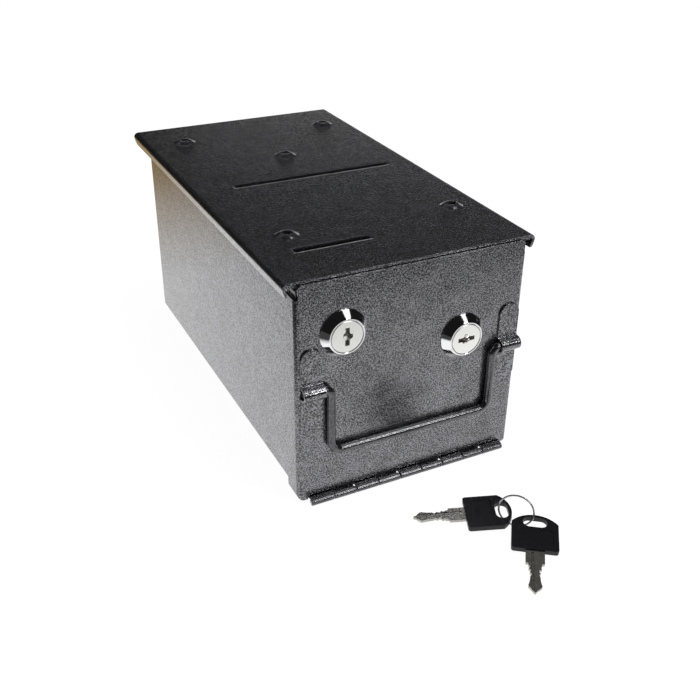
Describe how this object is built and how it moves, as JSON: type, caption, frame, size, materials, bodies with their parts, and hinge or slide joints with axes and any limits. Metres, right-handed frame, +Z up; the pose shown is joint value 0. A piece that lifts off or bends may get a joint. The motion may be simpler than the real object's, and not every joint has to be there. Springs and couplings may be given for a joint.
{
  "type": "poker table drop box",
  "caption": "Sheet-steel cash case that slides under a slotted mounting plate, with a bottom-hinged door, cam locks, a bail handle and keys on a ring.",
  "frame": {"origin": "middle of the case's flat underside", "axes": "+X to the right of a person who faces the door, +Y from the door towards the back of the case, +Z up through the mounting plate"},
  "size_m": [0.15, 0.3828, 0.1407],
  "materials": {
    "enamel": "black hammertone baked enamel, semi-gloss with a fine dimpled texture",
    "chrome": "bright chrome plate",
    "nickel": "pale nickel plate, satin",
    "zinc": "bright zinc plate",
    "ring_wire": "drawn steel wire",
    "key_metal": "nickel-plated brass, dulled",
    "key_plastic": "black moulded plastic, satin"
  },
  "bodies": {
    "case": {"case_shell": "enamel", "case_back": "enamel", "case_top": "enamel", "door_catch": "zinc", "hinge_case_leaf": "enamel", "hinge_pin": "zinc"},
    "plate": {"mounting_plate": "enamel"},
    "door": {"door_panel": "enamel", "hinge_door_leaf": "enamel", "handle_strap_left": "enamel", "handle_strap_right": "enamel", "table_lock_barrel": "chrome", "table_lock_nut": "zinc", "door_lock_barrel": "chrome", "door_lock_nut": "zinc"},
    "bail": {"bail_handle": "enamel"},
    "table_lock_core": {"table_lock_plug": "nickel", "table_lock_cam": "zinc", "table_lock_cam_screw": "zinc"},
    "door_lock_core": {"door_lock_plug": "nickel", "door_lock_cam": "zinc", "door_lock_cam_screw": "zinc"},
    "ring": {"key_ring": "ring_wire"},
    "key_1": {"key_1_blade": "key_metal", "key_1_head": "key_plastic"},
    "key_2": {"key_2_blade": "key_metal", "key_2_head": "key_plastic"}
  },
  "joints": [
    {"name": "plate_slide", "type": "slide", "parent": "case", "child": "plate", "axis": [0, 1, 0], "range_m": [0, 0.26]},
    {"name": "door_hinge", "type": "hinge", "parent": "case", "child": "door", "pos_m": [0, -0.1327, -0.0021], "axis": [1, 0, 0], "range_deg": [0, 72]},
    {"name": "bail_swing", "type": "hinge", "parent": "door", "child": "bail", "pos_m": [0, -0.1322, 0.0692], "axis": [-1, 0, 0], "range_deg": [0, 160]},
    {"name": "table_lock_turn", "type": "hinge", "parent": "door", "child": "table_lock_core", "pos_m": [-0.0427, -0.1295, 0.0996], "axis": [0, -1, 0], "range_deg": [0, 90]},
    {"name": "door_lock_turn", "type": "hinge", "parent": "door", "child": "door_lock_core", "pos_m": [0.0306, -0.1295, 0.0806], "axis": [0, -1, 0], "range_deg": [0, 90]},
    {"name": "keys_lift", "type": "slide", "parent": "case", "child": "ring", "axis": [0, 0, 1], "range_m": [-0.004, 0.1]},
    {"name": "key_1_swing", "type": "hinge", "parent": "ring", "child": "key_1", "pos_m": [0.0248, -0.1896, -0.0009], "axis": [0, 0, -1], "range_deg": [0, 20]},
    {"name": "key_2_swing", "type": "hinge", "parent": "ring", "child": "key_2", "pos_m": [0.0352, -0.2007, -0.001], "axis": [0, 0, 1], "range_deg": [0, 20]}
  ]
}
